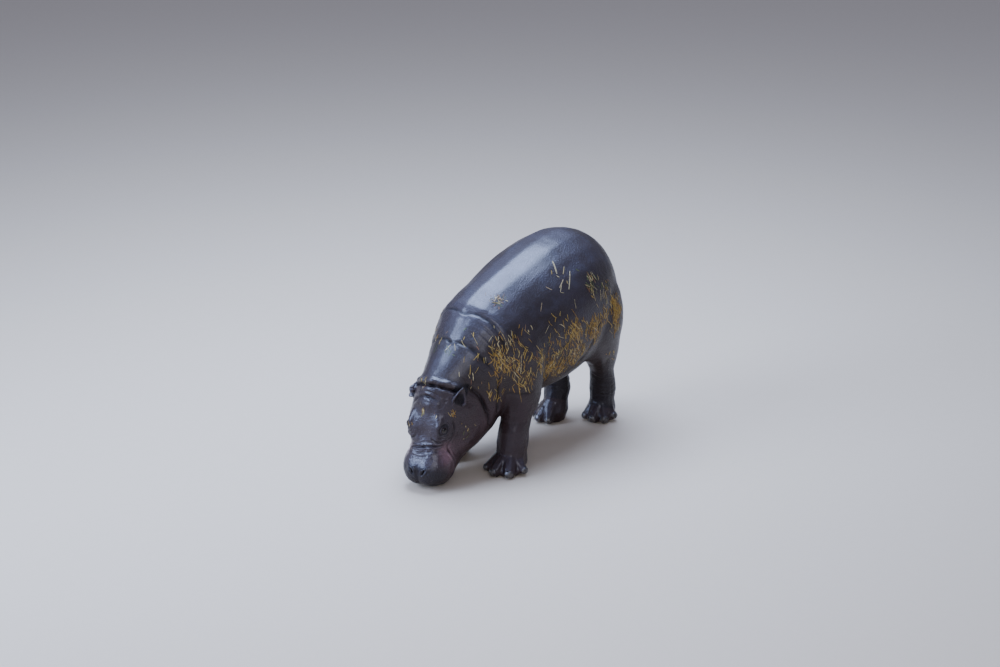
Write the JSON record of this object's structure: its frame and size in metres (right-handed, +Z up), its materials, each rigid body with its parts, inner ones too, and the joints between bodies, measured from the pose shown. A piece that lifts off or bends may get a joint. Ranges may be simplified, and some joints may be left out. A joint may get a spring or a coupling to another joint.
{
  "type": "pygmy hippopotamus",
  "caption": "Still, life-size model of a young pygmy hippopotamus standing on four feet with its head lowered to drink.",
  "frame": {"origin": "middle of the bounding box's footprint, on the floor under the soles", "axes": "+X the way the animal faces, +Y its left side, +Z up"},
  "size_m": [0.9152, 0.3808, 0.6459],
  "materials": {
    "hide": "wet, smooth, slate brown hide",
    "nail": "dark horn",
    "eye": "wet, dark eye"
  },
  "bodies": {
    "root": {"head": "hide", "lower_jaw": "hide", "neck": "hide", "trunk": "hide", "tail": "hide", "ear_left": "hide", "ear_right": "hide", "eye_left": "eye", "eye_right": "eye", "front_left_upper_leg": "hide", "front_left_lower_leg": "hide", "front_left_foot": "hide", "front_left_nail_inner": "nail", "front_left_nail_fore_inner": "nail", "front_left_nail_fore_outer": "nail", "front_left_nail_outer": "nail", "front_right_upper_leg": "hide", "front_right_lower_leg": "hide", "front_right_foot": "hide", "front_right_nail_inner": "nail", "front_right_nail_fore_inner": "nail", "front_right_nail_fore_outer": "nail", "front_right_nail_outer": "nail", "hind_left_upper_leg": "hide", "hind_left_lower_leg": "hide", "hind_left_foot": "hide", "hind_left_nail_inner": "nail", "hind_left_nail_fore_inner": "nail", "hind_left_nail_fore_outer": "nail", "hind_left_nail_outer": "nail", "hind_right_upper_leg": "hide", "hind_right_lower_leg": "hide", "hind_right_foot": "hide", "hind_right_nail_inner": "nail", "hind_right_nail_fore_inner": "nail", "hind_right_nail_fore_outer": "nail", "hind_right_nail_outer": "nail"}
  },
  "joints": []
}
